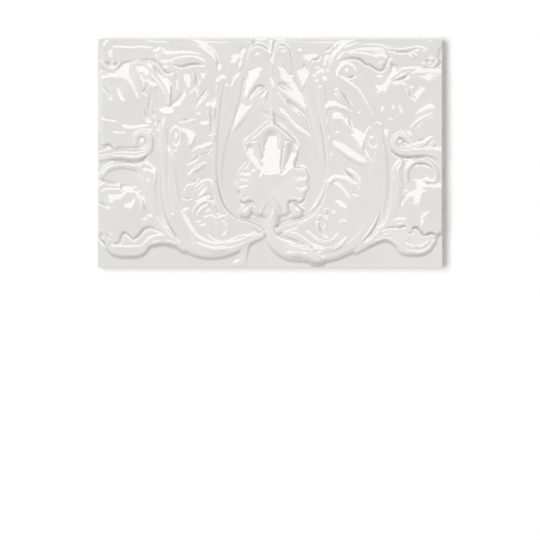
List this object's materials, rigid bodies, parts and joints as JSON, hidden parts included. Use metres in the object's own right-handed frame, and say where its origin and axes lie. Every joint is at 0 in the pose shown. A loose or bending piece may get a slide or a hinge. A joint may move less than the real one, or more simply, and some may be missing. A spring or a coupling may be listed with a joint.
{
  "type": "ceramic wall tile",
  "caption": "Rectangular glazed wall tile with a raised acanthus scroll and palmette relief and a key-grooved flat back.",
  "frame": {"origin": "middle of the flat back, which the tile lies on", "axes": "+X along the long side, +Y up the wall in the way the relief stands, +Z out of the decorated face"},
  "size_m": [0.228, 0.151, 0.0122],
  "materials": {
    "glaze": "gloss white glaze over a fired body, bare on the back"
  },
  "bodies": {
    "root": {"glazed_tile": "glaze"}
  },
  "joints": []
}
